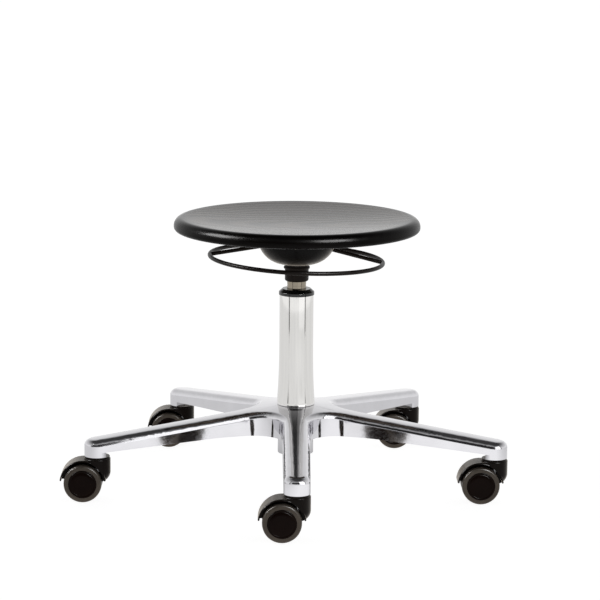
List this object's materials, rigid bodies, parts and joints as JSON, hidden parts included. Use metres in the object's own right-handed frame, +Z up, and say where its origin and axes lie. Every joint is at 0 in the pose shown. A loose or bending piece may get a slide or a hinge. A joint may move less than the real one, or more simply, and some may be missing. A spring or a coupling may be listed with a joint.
{
  "type": "swivel stool",
  "caption": "Height-adjustable swivel stool: round dished seat, gas lift released by a wire ring, chrome column and polished star base on twin-wheel casters.",
  "frame": {"origin": "on the floor, on the lift axis", "axes": "+Z up along the lift axis; -Y towards the front arm; the casters trail towards -X"},
  "size_m": [0.6471, 0.5943, 0.4009],
  "materials": {
    "polished_aluminium": "polished casting",
    "chrome": "bright plated tube",
    "bright_cylinder": "bright tube, finely ground round its axis",
    "black_stained_wood": "black stain with a satin varnish that shows the grain",
    "black_wire": "semi-gloss black coating",
    "black_metal": "semi-gloss black paint",
    "black_plastic": "fine satin moulding",
    "guide_plastic": "natural bearing plastic",
    "steel": "zinc-plated or ground steel",
    "buffer_rubber": "moulded rubber",
    "caster_plastic": "smooth black moulding",
    "grey_tyre": "soft dark grey tread"
  },
  "bodies": {
    "base": {"star_base": "polished_aluminium", "column_tube": "chrome", "column_cap": "black_plastic", "guide_bush": "guide_plastic", "lower_race": "steel", "ball_cage": "guide_plastic", "caster_front_stem": "steel", "caster_right_stem": "steel", "caster_rear_right_stem": "steel", "caster_rear_left_stem": "steel", "caster_left_stem": "steel"},
    "rod": {"piston_rod": "steel", "piston": "steel", "upper_race": "steel", "retaining_clip": "steel", "buffer": "buffer_rubber"},
    "seat": {"gas_cylinder": "bright_cylinder", "rod_gland": "guide_plastic", "valve_body": "steel", "cone_socket": "black_metal", "seat_carrier": "black_metal", "pivot_pin": "steel", "seat_plate": "black_metal", "seat_screws": "steel", "cowl": "black_plastic", "seat_board": "black_stained_wood"},
    "ring": {"release_ring": "black_wire", "ring_spokes": "black_wire", "lever_rocker": "black_metal"},
    "button": {"release_button": "black_metal"},
    "caster_front": {"caster_front_housing": "caster_plastic", "caster_front_axle": "steel"},
    "front_left_wheel": {"caster_front_wheel_left": "caster_plastic", "caster_front_tyre_left": "grey_tyre"},
    "front_right_wheel": {"caster_front_wheel_right": "caster_plastic", "caster_front_tyre_right": "grey_tyre"},
    "caster_right": {"caster_right_housing": "caster_plastic", "caster_right_axle": "steel"},
    "right_left_wheel": {"caster_right_wheel_left": "caster_plastic", "caster_right_tyre_left": "grey_tyre"},
    "right_right_wheel": {"caster_right_wheel_right": "caster_plastic", "caster_right_tyre_right": "grey_tyre"},
    "caster_rear_right": {"caster_rear_right_housing": "caster_plastic", "caster_rear_right_axle": "steel"},
    "rear_right_left_wheel": {"caster_rear_right_wheel_left": "caster_plastic", "caster_rear_right_tyre_left": "grey_tyre"},
    "rear_right_right_wheel": {"caster_rear_right_wheel_right": "caster_plastic", "caster_rear_right_tyre_right": "grey_tyre"},
    "caster_rear_left": {"caster_rear_left_housing": "caster_plastic", "caster_rear_left_axle": "steel"},
    "rear_left_left_wheel": {"caster_rear_left_wheel_left": "caster_plastic", "caster_rear_left_tyre_left": "grey_tyre"},
    "rear_left_right_wheel": {"caster_rear_left_wheel_right": "caster_plastic", "caster_rear_left_tyre_right": "grey_tyre"},
    "caster_left": {"caster_left_housing": "caster_plastic", "caster_left_axle": "steel"},
    "left_left_wheel": {"caster_left_wheel_left": "caster_plastic", "caster_left_tyre_left": "grey_tyre"},
    "left_right_wheel": {"caster_left_wheel_right": "caster_plastic", "caster_left_tyre_right": "grey_tyre"}
  },
  "joints": [
    {"name": "seat_swivel", "type": "hinge", "parent": "base", "child": "rod", "pos_m": [0, 0, 0.06], "axis": [0, 0, 1], "continuous": true},
    {"name": "seat_lift", "type": "slide", "parent": "rod", "child": "seat", "axis": [0, 0, 1], "range_m": [0, 0.13]},
    {"name": "ring_lift", "type": "hinge", "parent": "seat", "child": "ring", "pos_m": [0.026, 0, 0.35585], "axis": [0, -1, 0], "range_deg": [0, 6.6], "stiffness_Nm_per_rad": 3, "springref_deg": -8.59},
    {"name": "button_press", "type": "slide", "parent": "seat", "child": "button", "axis": [0, 0, -1], "range_m": [0, 0.003]},
    {"name": "front_caster_swivel", "type": "hinge", "parent": "base", "child": "caster_front", "pos_m": [0, -0.302, 0.06], "axis": [0, 0, 1], "continuous": true},
    {"name": "front_left_wheel_spin", "type": "hinge", "parent": "caster_front", "child": "front_left_wheel", "pos_m": [-0.0202, -0.2877, 0.0275], "axis": [0, 1, 0], "continuous": true},
    {"name": "front_right_wheel_spin", "type": "hinge", "parent": "caster_front", "child": "front_right_wheel", "pos_m": [-0.0202, -0.3163, 0.0275], "axis": [0, 1, 0], "continuous": true},
    {"name": "right_caster_swivel", "type": "hinge", "parent": "base", "child": "caster_right", "pos_m": [0.28722, -0.09332, 0.06], "axis": [0, 0, 1], "continuous": true},
    {"name": "right_left_wheel_spin", "type": "hinge", "parent": "caster_right", "child": "right_left_wheel", "pos_m": [0.26702, -0.07902, 0.0275], "axis": [0, 1, 0], "continuous": true},
    {"name": "right_right_wheel_spin", "type": "hinge", "parent": "caster_right", "child": "right_right_wheel", "pos_m": [0.26702, -0.10762, 0.0275], "axis": [0, 1, 0], "continuous": true},
    {"name": "rear_right_caster_swivel", "type": "hinge", "parent": "base", "child": "caster_rear_right", "pos_m": [0.17751, 0.24432, 0.06], "axis": [0, 0, 1], "continuous": true},
    {"name": "rear_right_left_wheel_spin", "type": "hinge", "parent": "caster_rear_right", "child": "rear_right_left_wheel", "pos_m": [0.15731, 0.25862, 0.0275], "axis": [0, 1, 0], "continuous": true},
    {"name": "rear_right_right_wheel_spin", "type": "hinge", "parent": "caster_rear_right", "child": "rear_right_right_wheel", "pos_m": [0.15731, 0.23002, 0.0275], "axis": [0, 1, 0], "continuous": true},
    {"name": "rear_left_caster_swivel", "type": "hinge", "parent": "base", "child": "caster_rear_left", "pos_m": [-0.17751, 0.24432, 0.06], "axis": [0, 0, 1], "continuous": true},
    {"name": "rear_left_left_wheel_spin", "type": "hinge", "parent": "caster_rear_left", "child": "rear_left_left_wheel", "pos_m": [-0.19771, 0.25862, 0.0275], "axis": [0, 1, 0], "continuous": true},
    {"name": "rear_left_right_wheel_spin", "type": "hinge", "parent": "caster_rear_left", "child": "rear_left_right_wheel", "pos_m": [-0.19771, 0.23002, 0.0275], "axis": [0, 1, 0], "continuous": true},
    {"name": "left_caster_swivel", "type": "hinge", "parent": "base", "child": "caster_left", "pos_m": [-0.28722, -0.09332, 0.06], "axis": [0, 0, 1], "continuous": true},
    {"name": "left_left_wheel_spin", "type": "hinge", "parent": "caster_left", "child": "left_left_wheel", "pos_m": [-0.30742, -0.07902, 0.0275], "axis": [0, 1, 0], "continuous": true},
    {"name": "left_right_wheel_spin", "type": "hinge", "parent": "caster_left", "child": "left_right_wheel", "pos_m": [-0.30742, -0.10762, 0.0275], "axis": [0, 1, 0], "continuous": true}
  ],
  "couplings": [
    {"joint": "button_press", "follows": "ring_lift", "m_per_rad": 0.026}
  ]
}
